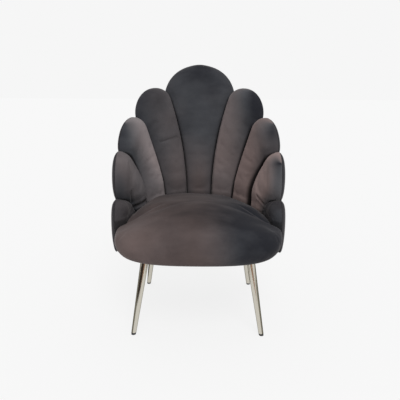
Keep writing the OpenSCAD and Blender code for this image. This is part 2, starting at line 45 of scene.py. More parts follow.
# ---- Studio
# A pale floor that runs out into an equally pale backdrop, even light from all round and one
# soft sun from the upper right front. Two tall screens and a low sheet round the chair show only
# as reflections in polished metal, and the camera stands as in the photograph.
def add_node(tree, kind, links=None, **settings):
    """A shader node with its settings. Links gives an input its value, or a socket to feed it."""
    made = tree.nodes.new("ShaderNode" + kind)
    for key, value in settings.items():
        setattr(made, key, value)
    for key, value in (links or {}).items():
        if isinstance(value, bpy.types.NodeSocket):
            tree.links.new(value, made.inputs[key])
        else:
            made.inputs[key].default_value = value
    return made


# How bright floor and backdrop look, and how much of the floor's look is its own lit surface
PALE = 0.9218
SHADOW_SHARE = 0.16
camera_place = Vector((0.014, -1.496, 0.780))
yaw, pitch, roll = radians(-0.34), radians(14.08), radians(0.3)
look = Vector((sin(yaw) * cos(pitch), cos(yaw) * cos(pitch), -sin(pitch)))
level_right = Vector((cos(yaw), -sin(yaw), 0))
level_up = level_right.cross(look)
right = level_right * cos(roll) + level_up * sin(roll)
up = level_up * cos(roll) - level_right * sin(roll)
camera_data = bpy.data.cameras.new("camera")
camera_data.sensor_width = 36
camera_data.lens = 424.7 / 400 * camera_data.sensor_width
camera = bpy.data.objects.new("camera", camera_data)
camera_turn = Matrix((right, up, -look)).transposed().to_4x4()
camera.matrix_world = Matrix.Translation(camera_place) @ camera_turn
scene.collection.objects.link(camera)
scene.camera = camera
scene.view_settings.view_transform = "Standard"


def seen_directly(tree):
    """1 for what the camera sees, also in polished metal, and 0 for light that falls on things."""
    path = add_node(tree, "LightPath")
    seen = {0: path.outputs["Is Camera Ray"], 1: path.outputs["Is Glossy Ray"]}
    return add_node(tree, "Math", seen, operation="MAXIMUM").outputs[0]


world = bpy.data.worlds.new("studio")
scene.world = world
world.use_nodes = True
sky = world.node_tree
sky.nodes.clear()
sky_light = add_node(sky, "Background", {"Color": (1, 1, 1, 1), "Strength": 0.72})
sky_seen = add_node(sky, "Background", {"Color": (PALE, PALE, PALE, 1), "Strength": 1})
sky_mix = add_node(sky, "MixShader", {0: seen_directly(sky), 1: sky_light.outputs[0],
                                      2: sky_seen.outputs[0]})
add_node(sky, "OutputWorld", {0: sky_mix.outputs[0]})

sun_data = bpy.data.lights.new("sun", "SUN")
sun_data.energy = 1.2
sun_data.angle = radians(30)
sun = bpy.data.objects.new("sun", sun_data)
sun.rotation_euler = (radians(38), radians(10), 0)
scene.collection.objects.link(sun)


def stage_sheet(name, bm, paint):
    """Puts a sheet of the studio in the scene, which isn't part of the chair."""
    mesh = bpy.data.meshes.new(name)
    bm.to_mesh(mesh)
    bm.free()
    sheet = bpy.data.objects.new(name, mesh)
    scene.collection.objects.link(sheet)
    sheet.data.materials.append(paint)
    return sheet


floor_paint = bpy.data.materials.new("pale_floor")
floor_paint.use_nodes = True
ground = floor_paint.node_tree
ground.nodes.clear()
ground_matt = add_node(ground, "BsdfDiffuse", {"Color": (0.80, 0.80, 0.80, 1)})
# How bright the floor's own surface comes out in the open under this light
ground_lit = 0.712
ground_glow = (PALE - SHADOW_SHARE * ground_lit) / (1 - SHADOW_SHARE)
ground_shine = add_node(ground, "Emission", {"Color": (ground_glow, ground_glow, ground_glow, 1)})
ground_share = add_node(ground, "Math", {0: seen_directly(ground), 1: 1 - SHADOW_SHARE},
                        operation="MULTIPLY")
ground_mix = add_node(ground, "MixShader", {0: ground_share.outputs[0], 1: ground_matt.outputs[0],
                                            2: ground_shine.outputs[0]})
add_node(ground, "OutputMaterial", {0: ground_mix.outputs[0]})
floor_bm = bmesh.new()
bmesh.ops.create_grid(floor_bm, x_segments=1, y_segments=1, size=60)
stage_sheet("floor", floor_bm, floor_paint)


def studio_screen(name, start, turn, low_edge, high_edge, colour):
    """A curved sheet round the studio that shows only as a reflection in polished metal.
    It starts at an angle from the chair's front and turns on, both in degrees, and each of its
    edges has a distance from the middle and a height."""
    paint = bpy.data.materials.new(name)
    paint.use_nodes = True
    skin = paint.node_tree.nodes["Principled BSDF"]
    skin.inputs["Base Color"].default_value = (*colour, 1)
    skin.inputs["Roughness"].default_value = 1
    bm = bmesh.new()
    ahead = Vector((sin(radians(start)), -cos(radians(start)), 0))
    foot, top = (bm.verts.new(ahead * reach + Vector((0, 0, height)))
                 for reach, height in (low_edge, high_edge))
    edge = bm.edges.new((foot, top))
    bmesh.ops.spin(bm, geom=[foot, top, edge], cent=(0, 0, 0), axis=(0, 0, 1),
                   angle=radians(turn), steps=24)
    sheet = stage_sheet(name, bm, paint)
    sheet.visible_camera = sheet.visible_diffuse = sheet.visible_shadow = False
    sheet.visible_transmission = sheet.visible_volume_scatter = False


studio_screen("dark_screen", start=-68, turn=58, low_edge=(0.95, 0.0), high_edge=(0.95, 1.0),
              colour=(0.055, 0.036, 0.028))
studio_screen("warm_screen", start=-10, turn=36, low_edge=(0.95, 0.0), high_edge=(0.95, 1.0),
              colour=(0.60, 0.38, 0.27))
studio_screen("dark_floor", start=42, turn=276, low_edge=(0.30, 0.002), high_edge=(1.9, 0.002),
              colour=(0.26, 0.25, 0.21))


# ---- Velvet
# Short-pile velvet over foam. The pile is brushed lighter or darker and leans warm or cool from
# place to place, with painted light and shade of the velvet in the same values, which each piece
# says in its own nap and warmth values. It is darkened along the sewn seams, partly by crushing
# and partly as painted shade, and has painted shade in creases, where the seat touches and beside
# the rolls. The rest is the fine pile itself.
grain = bpy.data.node_groups.new("surface_grain", "ShaderNodeTree")
for name, kind, value in (
        ("Place", "NodeSocketVector", (0, 0, 0)), ("Stretch", "NodeSocketVector", (1, 1, 1)),
        ("Scale", "NodeSocketFloat", 100), ("Detail", "NodeSocketFloat", 3),
        ("Contrast", "NodeSocketFloat", 1)):
    grain.interface.new_socket(name, in_out="INPUT", socket_type=kind).default_value = value
grain.interface.new_socket("Mask", in_out="OUTPUT", socket_type="NodeSocketFloat")
grain_in = add_node(grain, "VectorMath", operation="MULTIPLY")
grain_noise = add_node(grain, "TexNoise", {"Vector": grain_in.outputs[0]})
grain_sharp = add_node(grain, "MapRange", {"Value": grain_noise.outputs["Fac"]})
grain_half = add_node(grain, "Math", {1: 0.5}, operation="MULTIPLY")
grain_low = add_node(grain, "Math", {0: 0.5, 1: grain_half.outputs[0]}, operation="SUBTRACT")
grain_high = add_node(grain, "Math", {0: 0.5, 1: grain_half.outputs[0]}, operation="ADD")
grain_ins = grain.nodes.new("NodeGroupInput")
for name, socket in (("Place", grain_in.inputs[0]), ("Stretch", grain_in.inputs[1]),
                     ("Scale", grain_noise.inputs["Scale"]),
                     ("Detail", grain_noise.inputs["Detail"]), ("Contrast", grain_half.inputs[0])):
    grain.links.new(grain_ins.outputs[name], socket)
grain.links.new(grain_low.outputs[0], grain_sharp.inputs["To Min"])
grain.links.new(grain_high.outputs[0], grain_sharp.inputs["To Max"])
grain.links.new(grain_sharp.outputs[0], grain.nodes.new("NodeGroupOutput").inputs["Mask"])


def add_grain(tree, scale, detail=3, contrast=1.0, stretch=(1, 1, 1)):
    """The surface grain in a material: a mask round 0.5 that varies by the contrast."""
    where = add_node(tree, "TexCoord").outputs["Object"]
    look = {"Place": where, "Stretch": stretch, "Scale": scale, "Detail": detail,
            "Contrast": contrast}
    return add_node(tree, "Group", look, node_tree=grain).outputs["Mask"]


def add_math(tree, kind, a, b=0.0, c=0.0):
    """The result of one Math node on values or sockets."""
    return add_node(tree, "Math", {0: a, 1: b, 2: c}, operation=kind).outputs[0]


def add_drift(tree, swing, *grain_look):
    """A surface grain that lies evenly round 0 and runs over the swing."""
    return add_math(tree, "MULTIPLY_ADD", add_grain(tree, *grain_look), swing, -swing / 2)


def add_blend(tree, factor, a, b, kind="MIX"):
    """A colour between a and b. A colour Mix node has them at 6 and 7 and its result at 2."""
    a, b = (x if isinstance(x, bpy.types.NodeSocket) else (*x, 1) for x in (a, b))
    mix = add_node(tree, "Mix", {0: factor, 6: a, 7: b}, data_type="RGBA", blend_type=kind)
    return mix.outputs[2]


velvet = bpy.data.materials.new("velvet")
velvet.use_nodes = True
pile = velvet.node_tree
velvet_skin = pile.nodes["Principled BSDF"]
velvet_skin.inputs["Roughness"].default_value = 0.85
velvet_skin.inputs["Specular IOR Level"].default_value = 0.12
velvet_skin.inputs["Sheen Weight"].default_value = 0.3
velvet_skin.inputs["Sheen Roughness"].default_value = 0.35
velvet_skin.inputs["Sheen Tint"].default_value = (0.62, 0.58, 0.58, 1)
# Nap holds painted light and shade besides brushing; darkening is crushing and painted shade
nap_and_light, warmth, crush_and_shade = (add_node(pile, "Attribute", attribute_name=name).outputs["Fac"]
                        for name in ("nap_and_light", "warmth", "crush_and_shade"))
clouds = add_drift(pile, 0.23, 9, 4)
streaks = add_drift(pile, 0.15, 28, 3, 1, (0.5, 1, 1))
brushed_and_lit = add_math(pile, "ADD", add_math(pile, "ADD", nap_and_light, clouds), streaks)
cool = add_blend(pile, brushed_and_lit, (0.016, 0.017, 0.022), (0.220, 0.227, 0.242))
warm = add_blend(pile, brushed_and_lit, (0.022, 0.017, 0.017), (0.316, 0.236, 0.223))
tone = add_math(pile, "ADD", warmth, add_drift(pile, 0.5, 6, 2))
fine = add_math(pile, "MULTIPLY_ADD", add_grain(pile, 900, 2), 0.36, 0.82)
dark = add_math(pile, "MULTIPLY_ADD", crush_and_shade, -0.95, 1.0)
shade = add_math(pile, "MULTIPLY", fine, dark)
pile_grey = add_node(pile, "CombineXYZ", {0: shade, 1: shade, 2: shade}).outputs[0]
pile.links.new(add_blend(pile, 1.0, add_blend(pile, tone, cool, warm), pile_grey, "MULTIPLY"),
               velvet_skin.inputs["Base Color"])
pile_bump = add_node(pile, "Bump", {"Strength": 0.25, "Distance": 0.0006,
                                    "Height": add_grain(pile, 420, 3)})
pile.links.new(pile_bump.outputs[0], velvet_skin.inputs["Normal"])


# ---- Petal pads
# Nine long padded pockets of velvet over foam that fan out round the sitter. Each outer petal
# lies as a full rounded tongue over the edge of its inner neighbour, and all are sewn on the
# bent shell, a cylinder that leans back 12 degrees.

# The shell's middle radius, its lean and a point of its axis
MID_R, LEAN = 0.283, radians(12)
AXIS_Y, AXIS_Z = -0.090, 0.405
# The levels down to which the outer panels and the petals reach
SEAM_LOW, PAD_LOW = 0.243, 0.2775


def on_shell(r, x, w):
    """Points at radius r, at the arc length x round the shell and the height w along its axis."""
    a = x / MID_R
    return np.stack([r * np.sin(a), AXIS_Y + w * sin(LEAN) + r * np.cos(a) * cos(LEAN),
                     AXIS_Z + w * cos(LEAN) - r * np.cos(a) * sin(LEAN)], -1)


def level_w(z, x):
    """The height along the axis at which the shell reaches the level z."""
    return (z - AXIS_Z + MID_R * np.cos(x / MID_R) * sin(LEAN)) / cos(LEAN)


def arc(angle, w_mm):
    """A place on the shell at an angle round it in degrees and a height along it in mm."""
    return [radians(angle) * MID_R, w_mm / 1000]


def at_level(z, angle):
    """A place on the shell at an angle round it in degrees and the level z."""
    x = radians(angle) * MID_R
    return [x, float(level_w(z, x))]


def bezier(p, n):
    """n points along the curve that has the four control points p."""
    t = np.linspace(0, 1, n)[:, None]
    p = np.array(p)
    return ((1 - t) ** 3 * p[0] + 3 * (1 - t) ** 2 * t * p[1] + 3 * (1 - t) * t * t * p[2]
            + t ** 3 * p[3])


# The middle petal's round top, then the four seams and the four free ends of the right side
CREST_R, CREST_W, CREST_SWEEP = 0.146, 0.411, radians(78.5)
notch_1 = [CREST_R * sin(CREST_SWEEP), CREST_W + CREST_R * cos(CREST_SWEEP)]
seams = [bezier(p, 240) for p in (
    [at_level(SEAM_LOW, 10.3), arc(9.1, 185), arc(18.2, 321), notch_1],
    [at_level(SEAM_LOW, 29.2), arc(25, 75), arc(45.5, 228), arc(57, 322)],
    [at_level(SEAM_LOW, 47.4), arc(50.5, 66), arc(57.5, 130), arc(80.5, 190)],
    [at_level(SEAM_LOW, 58.3), arc(58.5, -50), arc(66, 8), arc(87, 22)])]
ends = [bezier(p, 160) for p in (
    [seams[0][-1], arc(42, 483), arc(61.6, 394), seams[1][-1]],
    [seams[1][-1], arc(68, 341), arc(84.8, 237), seams[2][-1]],
    [seams[2][-1], arc(90.5, 194), arc(101, 80), seams[3][-1]],
    [seams[3][-1], arc(96, 22), arc(103, -75), at_level(SEAM_LOW + 0.002, 87)])]
sweep = np.linspace(-CREST_SWEEP, CREST_SWEEP, 161)
crest = np.stack([CREST_R * np.sin(sweep), CREST_W + CREST_R * np.cos(sweep)], -1)


def above(path, z):
    """The part of a path above the level z."""
    return path[path[:, 1] > level_w(z, path[:, 0])]


def sides(k, z, tip):
    """Petal k's left and right edge, two paths that start on the level z and meet at its tip, and
    then its inner seam, outer seam and free end."""
    if k == 0:
        end, left, rest = crest, above(seams[0], z) * [-1, 1], above(seams[0], z)
    else:
        end, left = ends[k - 1], above(seams[k - 1], z)
        rest = above(seams[k], z) if k < 4 else None
    n = int(tip * len(end))
    if k == 4:
        end = above(end, z)
        return np.concatenate([left, end[1:n]]), end[:n - 2:-1], left, None, end
    right_side = np.concatenate([rest, end[-2:n - 2:-1]])
    return np.concatenate([left, end[1:n]]), right_side, left, rest, end


def along(path, v):
    """Points at the shares v of a path's length."""
    d = np.concatenate([[0], np.cumsum(np.linalg.norm(np.diff(path, axis=0), axis=1))])
    return np.stack([np.interp(v * d[-1], d, path[:, i]) for i in (0, 1)], -1)


def far_from(p, path):
    """Distance of each place from a path."""
    best = np.full(len(p), 1.0)
    if path is None:
        return best
    a = path[::3]
    b = np.concatenate([a[1:], path[-1:]])
    for s, e in zip(a, b):
        run = e - s
        t = np.clip(((p - s) @ run) / max(run @ run, 1e-12), 0, 1)[:, None]
        best = np.minimum(best, np.linalg.norm(p - s - t * run, axis=1))
    return best


def rounded(d, width):
    """A round rise from 0 at an edge to 1 at the width."""
    return np.sqrt(np.clip(1 - (1 - np.clip(d / width, 0, 1)) ** 2, 0, 1))


def smooth_step(t):
    """0 up to 0, 1 from 1 on and an S between them."""
    t = np.clip(t, 0, 1)
    return t * t * (3 - 2 * t)


def spot(p, centre, size):
    """1 at a centre, falling off softly over the size; p is rows of coordinates."""
    d = (p - np.array(centre)) / np.array(size)
    return np.exp(-(d * d).sum(-1))


# Where the seat's crown is, and the radius of its rear edge
CROWN_Y, SEAT_R = -0.105, 0.2445


def seat_edge(x, y):
    """Height of the seat's edge: lowest beside the arms, rising to the rear and to the front."""
    a = np.degrees(np.arctan2(y - CROWN_Y, np.abs(x)))
    return 0.355 + 0.041 * smooth_step((a - 15) / 60) + 0.021 * smooth_step((-25 - a) / 55)


def touch_height(p):
    """How far places on the shell lie above the seat's edge."""
    low = on_shell(SEAT_R, p[:, 0], p[:, 1])
    return low[:, 2] - seat_edge(low[:, 0], low[:, 1])


def put_in_order(*kinds):
    """Sorts parts of a mesh by place, as some operators leave them in another order each run."""
    for parts in kinds:
        by_place = sorted(parts, key=lambda part: sorted(
            vert.co[:] for vert in getattr(part, "verts", [part])))
        order = {part: i for i, part in enumerate(by_place)}
        parts.sort(key=lambda part: order[part])


def velvet_object(name, bm):
    """Puts a closed padded form in the scene, with its faces outward and smooth, in velvet."""
    bmesh.ops.recalc_face_normals(bm, faces=bm.faces)
    for face in bm.faces:
        face.smooth = True
    mesh = bpy.data.meshes.new(name)
    bm.to_mesh(mesh)
    bm.free()
    made = bpy.data.objects.new(name, mesh)
    scene.collection.objects.link(made)
    made.data.materials.append(velvet)
    return made


def quilt(name, k, side, z, tip, columns, rows, front, back):
    """A padded pocket: a grid laid over petal k, given its front's height and its back's. It also
    returns what is known of each point: its place, its distances and whether it's in front."""
    bm = bmesh.new()
    bmesh.ops.create_grid(bm, x_segments=columns, y_segments=rows, size=0.5)
    mark = bm.verts.layers.int.new("mark")
    for i, vert in enumerate(bm.verts):
        vert[mark] = i
    share = np.array([vert.co[:2] for vert in bm.verts]) + 0.5
    inside = ((share > 0.001) & (share < 0.999)).all(axis=1)
    u = 0.5 - 0.5 * np.cos(pi * share[:, 0])
    v = share[:, 1]
    left, right_side, seam_in, seam_out, end = sides(k, z, tip)
    flat = along(left, v) * (1 - u)[:, None] + along(right_side, v) * u[:, None]
    outer_notch = end[-1] if seam_out is None else seam_out[-1]
    facts = dict(u=u, v=v, p=flat, side=np.full(len(u), side),
                 d_in=far_from(flat, seam_in), d_out=far_from(flat, seam_out),
                 d_end=far_from(flat, end), d_low=flat[:, 1] - level_w(z, flat[:, 0]),
                 notch_in=np.linalg.norm(flat - seam_in[-1], axis=1),
                 notch_out=np.linalg.norm(flat - outer_notch, axis=1))
    front_points, back_points = front(k, facts), back(k, facts)
    if side < 0:
        front_points, back_points = front_points * [-1, 1, 1], back_points * [-1, 1, 1]
    old = set(bm.verts)
    bmesh.ops.extrude_face_region(bm, geom=bm.faces[:])
    for vert in bm.verts:
        vert.co = (back_points if vert in old else front_points)[vert[mark]]
    inner = [vert for vert in bm.verts
             if vert not in old and not vert.is_boundary and inside[vert[mark]]]
    for _ in range(3):
        bmesh.ops.smooth_vert(bm, verts=inner, factor=0.5, use_axis_x=True, use_axis_y=True,
                              use_axis_z=True)
    bmesh.ops.remove_doubles(bm, verts=bm.verts, dist=0.00002)
    put_in_order(bm.edges, bm.faces)
    marks = np.array([vert[mark] for vert in bm.verts])
    in_front = np.array([vert not in old for vert in bm.verts])
    bm.verts.layers.int.remove(mark)
    facts = {key: value[marks] for key, value in facts.items()}
    facts["in_front"] = in_front
    return velvet_object(name, bm), facts


def with_modifiers(obj):
    """A new mesh that has the object's modifiers applied."""
    bpy.context.view_layer.update()
    depsgraph = bpy.context.evaluated_depsgraph_get()
    return bpy.data.meshes.new_from_object(obj.evaluated_get(depsgraph))


def tree_of(points):
    """A search tree over points."""
    tree = KDTree(len(points))
    for i, co in enumerate(points):
        tree.insert(co, i)
    tree.balance()
    return tree


SWELL_FRAMES = 20


def swell_as_cloth(pads, voxel, pressure, growth, cap):
    """Blows up a cloth copy of each pad and gives the pad that movement, up to the cap. Each pad
    comes with how far its points are free, from 0 at a sewn seam to 1 in the open."""
    copies = []
    for pad, free in pads:
        cloth = bpy.data.objects.new(pad.name + "_cloth", pad.data.copy())
        scene.collection.objects.link(cloth)
        even = cloth.modifiers.new("even", "REMESH")
        even.mode = "VOXEL"
        even.voxel_size = voxel
        even_mesh = with_modifiers(cloth)
        cloth.modifiers.clear()
        cloth.data = even_mesh
        tree = tree_of([vert.co for vert in pad.data.vertices])
        held = cloth.vertex_groups.new(name="held")
        for vert in even_mesh.vertices:
            held.add([vert.index], 1 - float(free[tree.find(vert.co)[1]]), "REPLACE")
        swelling = cloth.modifiers.new("cloth", "CLOTH")
        swelling.point_cache.frame_start, swelling.point_cache.frame_end = 1, SWELL_FRAMES
        rules = swelling.settings
        rules.quality = 5
        rules.use_pressure = True
        rules.uniform_pressure_force = pressure
        rules.shrink_min = -growth
        rules.vertex_group_mass = "held"
        rules.effector_weights.gravity = 0
        swelling.collision_settings.use_collision = False
        swelling.collision_settings.use_self_collision = False
        copies.append(cloth)
    for moment in range(1, SWELL_FRAMES + 1):
        scene.frame_set(moment)
    for (pad, free), cloth in zip(pads, copies):
        start = np.array([vert.co for vert in cloth.data.vertices])
        blown = cloth.evaluated_get(bpy.context.evaluated_depsgraph_get()).to_mesh()
        move = np.array([vert.co for vert in blown.vertices]) - start
        far = np.linalg.norm(move, axis=1, keepdims=True)
        move *= np.minimum(1, cap / np.maximum(far, 1e-9))
        tree = tree_of(start)
        for vert, share in zip(pad.data.vertices, free):
            if share > 0.01:
                near = tree.find_n(vert.co, 6)
                pull = np.array([np.exp(-(d / voxel) ** 2) + 1e-6 for _, _, d in near])
                mean_move = (pull @ move[[i for _, i, _ in near]]) / pull.sum()
                vert.co += Vector(share * mean_move)
    scene.frame_set(1)
    for cloth in copies:
        bpy.data.objects.remove(cloth)


def lay_pile(mesh, nap_and_light_values, warmth_values, crush_and_shade_values):
    """Gives each point its nap with painted light and shade, 0 dark to 1 light, its warmth, 0
    cool to 1 warm, and how far its pile is darkened by crushing and painted shade, from 0 to 1."""
    for name, column in (("nap_and_light", nap_and_light_values), ("warmth", warmth_values),
                         ("crush_and_shade", crush_and_shade_values)):
        attribute = mesh.attributes.new(name, "FLOAT", "POINT")
        attribute.data.foreach_set("value", np.ascontiguousarray(column, float))


# The whole fan, as each pocket's place from the middle, its side and its name
fan = [(0, 0, "center")] + [(k, side, f"{word}_{k}") for k in range(1, 5)
                            for side, word in ((-1, "left"), (1, "right"))]
# The share of each petal's free end at which its two edges meet
TIPS = [0.5, 0.42, 0.42, 0.42, 0.34]
# Padding where a petal is free, where the seat presses it and all over its seams
PETAL_PUFF, PRESSED_PUFF, SEAM_PAD = 0.029, 0.0195, 0.017
# The padding left in a seam, and the widths of the inner side's roll and the outer side's
CLEFT, ROLL, SHOULDER = 0.0070, 0.014, 0.0050
# Creases sat into the velvet: a path round and along the shell, its depth and its width
creases = {
    (-1, 1): [([(0.190, 0.240), (0.150, 0.250), (0.106, 0.263)], 0.0022, 0.0035)],
    (-1, 3): [([(0.349, -0.015), (0.305, -0.002), (0.262, 0.014)], 0.0060, 0.0060),
              ([(0.392, 0.050), (0.366, 0.030), (0.352, 0.008)], 0.0040, 0.0045)],
    (1, 3): [([(0.352, -0.004), (0.330, 0.012), (0.318, 0.034)], 0.0035, 0.0050)]}


def petal_front(k, f):
    """A roll on the inner side that stands over its neighbour, an easy fall to the outer side."""
    u, p = f["u"], f["p"]
    free = smooth_step((touch_height(p) - 0.010) / 0.055)
    puff = PRESSED_PUFF + (PETAL_PUFF - PRESSED_PUFF) * free
    shut_in = 1 - smooth_step(f["notch_in"] / 0.040)
    shut_out = 1 - smooth_step(f["notch_out"] / 0.025)
    if k == 0:
        top = SEAM_PAD + puff * np.clip(1 - np.abs(2 * u - 1) ** 3, 0, 1) ** 0.55
        top = CLEFT + (top - CLEFT) * np.maximum(rounded(f["d_in"], SHOULDER), shut_in)
    else:
        fall = np.clip((u - 0.38) / 0.62, 0, 1) ** 2.2
        upper = smooth_step((f["v"] - 0.35) / 0.4)
        outer_fall = 0.72 - 0.30 * upper if k == 2 else 0.72
        top = SEAM_PAD + puff * (1 - outer_fall * fall)
        if k == 3:
            top = top - 0.30 * puff * upper * np.exp(-(u / 0.5) ** 2)
        top = CLEFT + (top - CLEFT) * rounded(f["d_in"], ROLL * (1 - 0.6 * shut_in)) ** 0.9
    top = CLEFT + (top - CLEFT) * np.maximum(rounded(f["d_out"], SHOULDER), shut_out)
    for path, depth, wide in creases.get((f["side"][0], k), ()):
        d = far_from(p, np.array(path))
        lip = 0.35 * np.exp(-((d - 2 * wide) / wide) ** 2)
        top = top - depth * (np.exp(-(d / wide) ** 2) - lip)
    height = 0.0004 + (top - 0.0004) * rounded(f["d_end"], 0.042)
    return on_shell(MID_R - height, p[:, 0], p[:, 1])


def petal_back(k, f):
    """On the shell's inner face, and out to its middle along the sewn free end."""
    r = np.where(f["d_end"] < 0.0045, MID_R - 0.0003, 0.2777)
    return on_shell(r, f["p"][:, 0], f["p"][:, 1])


# How each petal's pile is brushed, with painted light and shade of the velvet in it, mostly
# darker towards outer sides and tips: its nap and warmth, then patches as place across, place
# along, their sizes, and what they add to nap and warmth
petal_brush_and_light = {
    (0, 0): (0.20, 0.0, [(0.5, 1.0, 0.6, 0.25, -0.21, -0.2), (0.5, 0.2, 0.6, 0.18, 0.14, 0.8)]),
    (-1, 1): (0.285, 0.30, [(0.6, 1.0, 0.5, 0.28, -0.14, 0.0), (1.0, 0.75, 0.3, 0.3, -0.17, -0.2),
                            (0.4, 0.3, 0.5, 0.15, 0.04, 0.3)]),
    (1, 1): (0.49, 0.65, [(0.6, 1.0, 0.5, 0.25, -0.37, -0.8), (1.0, 0.8, 0.35, 0.35, -0.39, -0.5),
                          (0.2, 0.45, 0.3, 0.3, 0.03, 0.1)]),
    (-1, 2): (0.62, 0.42, [(0.2, 0.6, 0.3, 0.4, 0.47, 0.1), (0.5, 1.0, 0.5, 0.15, -0.34, -0.2),
                           (1.0, 0.8, 0.3, 0.35, -0.46, -0.5)]),
    (1, 2): (0.65, 1.05, [(0.6, 1.0, 0.45, 0.25, -0.40, -0.9),
                          (1.0, 0.75, 0.3, 0.4, -0.42, -0.5)]),
    (-1, 3): (0.36, 0.40, [(0.3, 0.6, 0.3, 0.3, 0.23, 0.0), (1.0, 0.5, 0.16, 0.35, -0.24, -0.5),
                           (0.6, 0.15, 0.5, 0.2, -0.17, -0.2)]),
    (1, 3): (1.07, 1.25, [(0.5, 1.0, 0.5, 0.20, -1.09, -1.2),
                          (1.0, 0.6, 0.25, 0.5, -0.64, -1.1)]),
    (-1, 4): (0.168, 0.25, [(0.4, 0.6, 0.4, 0.4, 0.03, 0.1)]),
    (1, 4): (0.08, 0.3, [(0.9, 0.7, 0.3, 0.4, 0.09, -0.3)])}


def brush_and_shade_petal(mesh, side, k, f):
    """Lays a petal's pile with its painted light and shade, and darkens it along seams, partly by
    crushing and partly as painted shade, with painted shade in creases, where the seat touches
    and in bands beside the rolls.
    """
    shade, warm, patches = petal_brush_and_light[side, k]
    shade, warm = shade + 0 * f["u"], warm + 0 * f["u"]
    place = np.stack([f["u"], f["v"]], -1)
    for across, length, wide, long, lighter, warmer in patches:
        there = spot(place, (across, length), (wide, long))
        shade, warm = shade + lighter * there, warm + warmer * there
    # Darker along both seams: partly crushing of the pile, partly painted shade in the seam
    open_in = smooth_step((f["notch_in"] - 0.01) / 0.04)
    open_out = smooth_step((f["notch_out"] - 0.005) / 0.03)
    wide_out = 0.004 if k == 0 else 0.005
    wide_in = 0.003 if side > 0 or k < 2 else 0.005
    crush_and_shade = 0.9 * np.maximum(open_out * np.exp(-(f["d_out"] / wide_out) ** 2),
                               open_in * np.exp(-(f["d_in"] / wide_in) ** 2))
    if side > 0:
        # The light comes from the right, so each roll keeps a dark band on its inner neighbour
        upper = smooth_step((f["v"] - 0.3) / 0.35)
        full, fade = {1: (0.001 + 0.006 * upper, 0.012 + 0.003 * upper),
                      2: (0.012 - 0.010 * upper, 0.022 - 0.008 * upper)}.get(k, (0.0, 0.009))
        band = 1 - smooth_step((f["d_out"] - full) / fade)
        open_band = smooth_step((f["notch_out"] - 0.008) / 0.05) * (0.7 if k == 3 else 1)
        crush_and_shade = np.maximum(crush_and_shade, band * open_band)
    # Painted shade on the petal just above the seat, where the seat touches it
    by_seat = 1 - smooth_step((touch_height(f["p"]) - 0.002) / 0.009)
    crush_and_shade = np.maximum(crush_and_shade, (0.5 if k == 4 else 0.35) * by_seat)
    # Painted shade in the creases
    for path, _, wide in creases.get((side, k), ()):
        in_crease = np.exp(-(far_from(f["p"], np.array(path)) / wide) ** 2)
        crush_and_shade = np.maximum(crush_and_shade, 0.40 * in_crease)
    lay_pile(mesh, shade, warm, crush_and_shade)


petal_pads = []
for k, side, word in fan:
    pad, facts = quilt(f"velvet_petal_{word}", k, side, PAD_LOW, TIPS[k], 56, 110,
                       petal_front, petal_back)
    from_edge = np.minimum(np.minimum(facts["d_in"], facts["d_out"]), facts["d_end"])
    free = smooth_step((from_edge - 0.004) / 0.02) * facts["in_front"] \
        * smooth_step(facts["d_low"] / 0.02)
    petal_pads.append((pad, free, facts, side, k, f"petal_{word}"))
swell_as_cloth([(pad, free) for pad, free, *_ in petal_pads],
               voxel=0.007, pressure=1.5, growth=0.008, cap=0.003)
for pad, _, facts, side, k, node in petal_pads:
    brush_and_shade_petal(pad.data, side, k, facts)
    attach(pad, "root")
    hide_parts(node)


# ---- Outer panels
# The same fan on the outside of the back, in thin padding: nine velvet panels that meet the
# petals in a sewn edge round the scallops and fold in under the shell's lower edge.
def panel_front(k, f):
    """Flat padding with a shallow seam on both sides, thinned out to the free end and the foot."""
    puff = 0.004 * np.clip(1 - np.abs(2 * f["u"] - 1) ** 2.6, 0, 1) ** 0.6
    seam = np.minimum(f["d_in"], f["d_out"])
    top = 0.0105 + puff - 0.004 * np.exp(-(seam / 0.004) ** 2)
    foot = 0.35 + 0.65 * rounded(f["d_low"], 0.010)
    height = 0.0004 + (top - 0.0004) * rounded(f["d_end"], 0.026) * foot
    return on_shell(MID_R + height, f["p"][:, 0], f["p"][:, 1])


def panel_back(k, f):
    """On the shell's outer face, in to its middle along the free end and under its lower edge."""
    r = np.where(f["d_end"] < 0.0045, MID_R + 0.0003, 0.2899)
    r = np.where((f["d_low"] < 0.002) & (f["d_end"] > 0.0045), 0.2765, r)
    return on_shell(r, f["p"][:, 0], f["p"][:, 1])


for k, side, word in fan:
    panel, facts = quilt(f"velvet_panel_{word}", k, side, SEAM_LOW, TIPS[k], 44, 80,
                         panel_front, panel_back)
    # Darker to the free end; painted shade on the rim; seams darker by crushing and painted shade
    shade = 0.26 - 0.06 * smooth_step((facts["v"] - 0.5) / 0.5)
    rim = np.exp(-(facts["d_end"] / 0.006) ** 2)
    seam = np.exp(-(np.minimum(facts["d_in"], facts["d_out"]) / 0.0025) ** 2)
    lay_pile(panel.data, shade - 0.10 * rim, 0.2 + 0 * shade, np.maximum(0.2 * rim, seam))
    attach(panel, "root")
    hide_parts(f"outer_panel_{word}")


# ---- Seat cushion
# One domed cushion of velvet over foam. It fills the shell, widens into two ears in front of the
# arms and rolls over the front in one piece, with its cloth pulled under the board and stapled.

# Half the width over the ears, where the ears begin, where the seat is widest, how far its front
# reaches beyond that, and the power that squares the front's oval
EAR_W, EAR_Y, WIDE_Y, FRONT_DEPTH, SQUARE = 0.277, -0.1350, -0.1640, 0.147, 2 / 2.5
# The levels of the crown, of the front's foot and of the board's top
SEAT_H, SEAT_LOW, BOARD_TOP = 0.4260, 0.2575, 0.277


